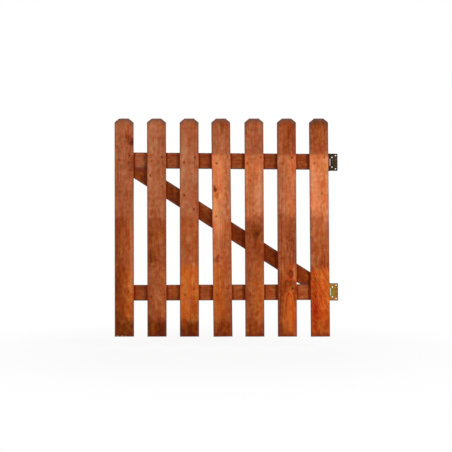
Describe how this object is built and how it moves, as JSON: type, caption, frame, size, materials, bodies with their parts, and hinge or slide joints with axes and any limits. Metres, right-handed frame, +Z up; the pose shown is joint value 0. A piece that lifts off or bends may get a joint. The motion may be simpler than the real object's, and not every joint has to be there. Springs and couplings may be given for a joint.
{
  "type": "picket fence gate",
  "caption": "Dog-eared picket fence gate: pickets nailed to rails and a diagonal brace, hung on rolled-knuckle butt hinges so that it swings open.",
  "frame": {"origin": "middle of the flat face of the lower hinge's post leaf, where it lies on the gate post; the middle of the bottom rail's hinge end is at the same height, 202 mm above the pickets' feet", "axes": "+X from the latch side to the hinge side, +Y from the picket side to the back of the gate, +Z up"},
  "size_m": [1.0309, 0.0551, 1.0006],
  "materials": {
    "picket_wood": "dip-stained red-brown softwood, planed, satin",
    "rail_wood": "dip-stained red-brown softwood, planed, satin, darker than the pickets",
    "upper_hinge_steel": "dull dark brown pressed steel",
    "lower_hinge_steel": "yellow-passivated zinc plate on pressed steel"
  },
  "bodies": {
    "post_side": {"upper_post_leaf": "upper_hinge_steel", "upper_hinge_pin": "upper_hinge_steel", "lower_post_leaf": "lower_hinge_steel", "lower_hinge_pin": "lower_hinge_steel"},
    "gate": {"picket_1": "picket_wood", "picket_2": "picket_wood", "picket_3": "picket_wood", "picket_4": "picket_wood", "picket_5": "picket_wood", "picket_6": "picket_wood", "picket_7": "picket_wood", "top_rail": "rail_wood", "bottom_rail": "rail_wood", "diagonal_brace": "rail_wood", "upper_gate_leaf": "upper_hinge_steel", "lower_gate_leaf": "lower_hinge_steel"}
  },
  "joints": [
    {"name": "gate_swing", "type": "hinge", "parent": "post_side", "child": "gate", "pos_m": [-0.02, 0.00455, 0], "axis": [0, 0, -1], "range_deg": [0, 180]}
  ]
}
